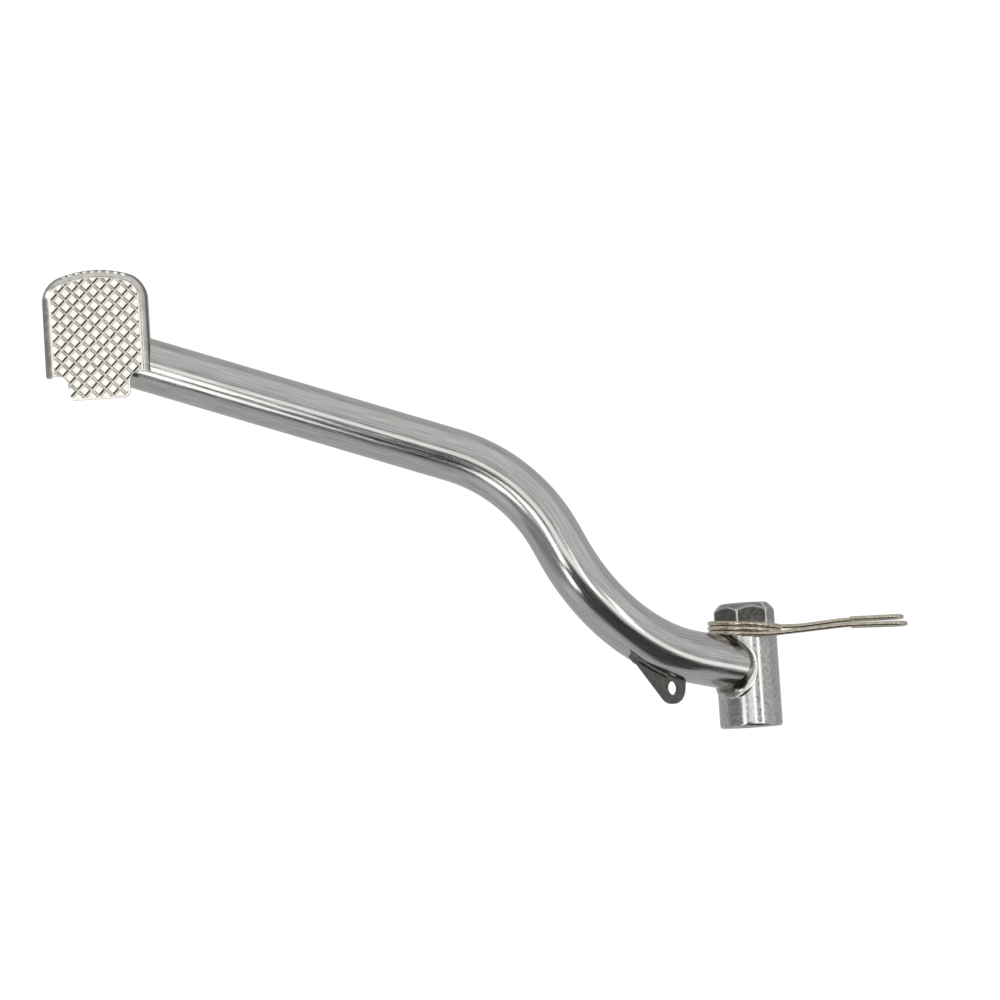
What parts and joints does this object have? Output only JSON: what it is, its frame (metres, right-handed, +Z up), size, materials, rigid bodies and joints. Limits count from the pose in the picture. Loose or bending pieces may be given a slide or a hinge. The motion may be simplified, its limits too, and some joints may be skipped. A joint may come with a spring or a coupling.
{
  "type": "motorbike brake pedal",
  "caption": "Rear brake pedal: chromed bent tube with a diamond-tread foot pad, welded pivot hub, brake rod lug, hex-headed pivot bolt and hooked torsion return spring.",
  "frame": {"origin": "on the pivot axis, at the mouth of the pivot bolt's tapped hole", "axes": "+Y outwards along the pivot, +Z up with the tread facing up, -X towards the front of the bike"},
  "size_m": [0.3186, 0.1852, 0.0693],
  "materials": {
    "chrome_tube": "bright chrome plate over drawn tube",
    "chrome_pad": "bright chrome plate over pressed sheet",
    "plated_hub": "bright plate over turned steel",
    "plated_weld": "plated weld bead",
    "plated_lug": "thinly plated sheet steel",
    "zinc_bolt": "bright zinc plate",
    "spring_wire": "plated spring steel wire"
  },
  "bodies": {
    "pivot": {"pivot_bolt": "zinc_bolt", "return_spring": "spring_wire"},
    "pedal": {"foot_pad": "chrome_pad", "arm_tube": "chrome_tube", "pivot_hub": "plated_hub", "hub_weld": "plated_weld", "pad_weld_outer": "plated_weld", "pad_weld_inner": "plated_weld", "rod_lug": "plated_lug", "lug_weld_upper": "plated_weld", "lug_weld_lower": "plated_weld"}
  },
  "joints": [
    {"name": "pedal_pivot", "type": "hinge", "parent": "pivot", "child": "pedal", "pos_m": [0, 0.016, 0], "axis": [0, -1, 0], "range_deg": [0, 18], "stiffness_Nm_per_rad": 2, "springref_deg": -45.84}
  ]
}
